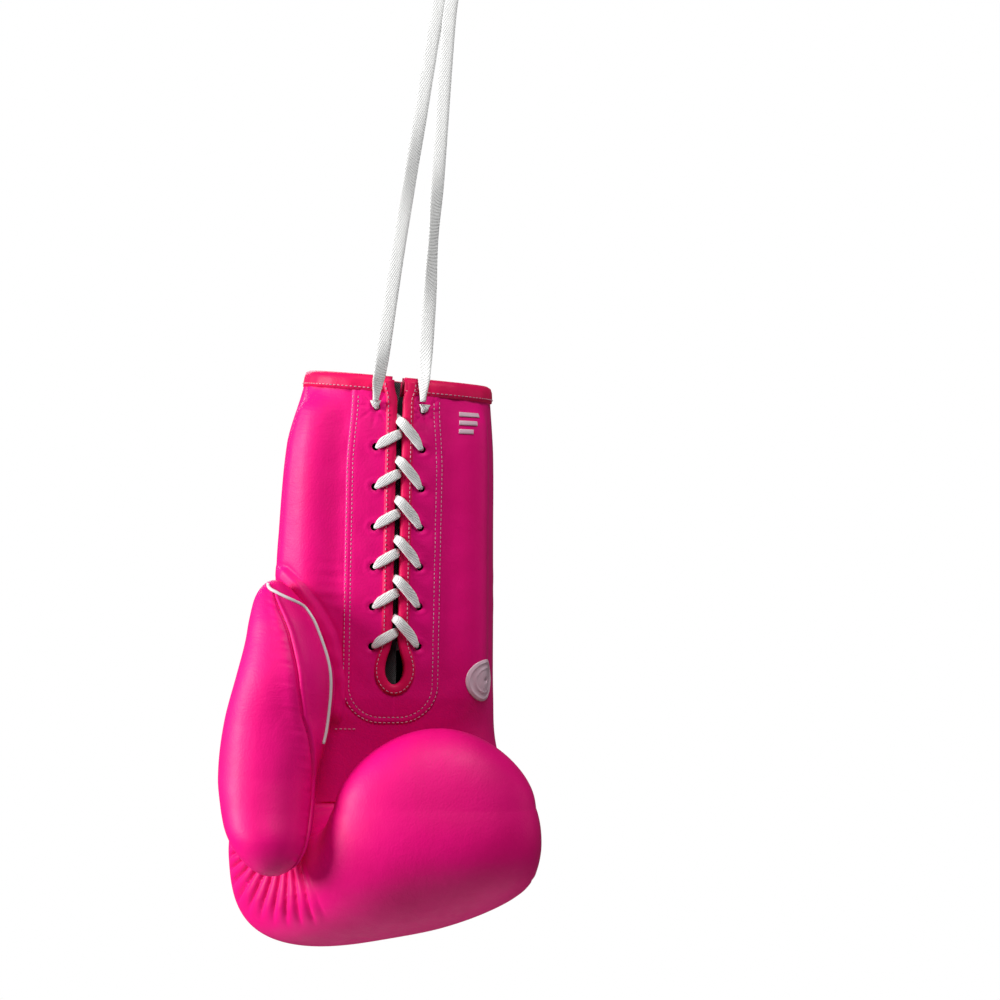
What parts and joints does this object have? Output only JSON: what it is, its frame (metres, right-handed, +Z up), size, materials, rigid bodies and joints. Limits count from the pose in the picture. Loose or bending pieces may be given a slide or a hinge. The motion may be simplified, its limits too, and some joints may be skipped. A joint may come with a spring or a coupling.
{
  "type": "boxing glove",
  "caption": "Padded right-hand boxing glove closed by a lace, with a hollow for the fist and thumb, hung fist down by the lace's loop.",
  "frame": {"origin": "inside top of the lace loop that the glove hangs by, above the cuff", "axes": "+Z up along the hanging glove from fist to cuff, -Y towards the palm and lacing, +Y towards the back of the hand, +X towards the little finger"},
  "size_m": [0.1787, 0.1399, 0.5747],
  "materials": {
    "leather": "semi-gloss",
    "binding": "semi-gloss",
    "foam": "matte foam",
    "lining": "matte",
    "lace": "woven",
    "piping": "satin",
    "badge": "gloss"
  },
  "bodies": {
    "hand": {"palm_panel": "leather", "lace_facing": "leather", "lace_placket": "leather", "placket_foam": "foam", "placket_lining": "lining", "slit_binding": "binding", "cuff_binding": "binding", "cuff_back_panel": "leather", "thumb_side_panel": "leather", "little_side_panel": "leather", "back_panel": "leather", "cuff_foam_left": "foam", "cuff_foam_right": "foam", "cuff_back_foam": "foam", "palm_foam": "foam", "grip_bar": "foam", "thumb_side_foam": "foam", "little_side_foam": "foam", "knuckle_foam_outer": "foam", "knuckle_foam_middle": "foam", "knuckle_foam_inner": "foam", "hand_lining": "lining", "lace_strand_left": "lace", "lace_strand_right": "lace", "lace_tail_left": "lace", "lace_tail_right": "lace", "lace_knot": "lace", "hang_loop": "lace", "round_badge": "badge"},
    "fingers": {"finger_panel": "leather", "finger_foam_outer": "foam", "finger_foam_inner": "foam", "finger_lining": "lining"},
    "thumb": {"thumb_outer_panel": "leather", "thumb_inner_panel": "leather", "thumb_foam": "foam", "thumb_lining": "lining", "thumb_piping": "piping"}
  },
  "joints": [
    {"name": "finger_flex", "type": "hinge", "parent": "hand", "child": "fingers", "pos_m": [0, -0.03, -0.575], "axis": [1, 0, 0], "range_deg": [0, 8], "stiffness_Nm_per_rad": 4.5},
    {"name": "thumb_flex", "type": "hinge", "parent": "hand", "child": "thumb", "pos_m": [-0.098, -0.045, -0.372], "axis": [0, 1, 0], "range_deg": [0, 8], "stiffness_Nm_per_rad": 1.2}
  ]
}
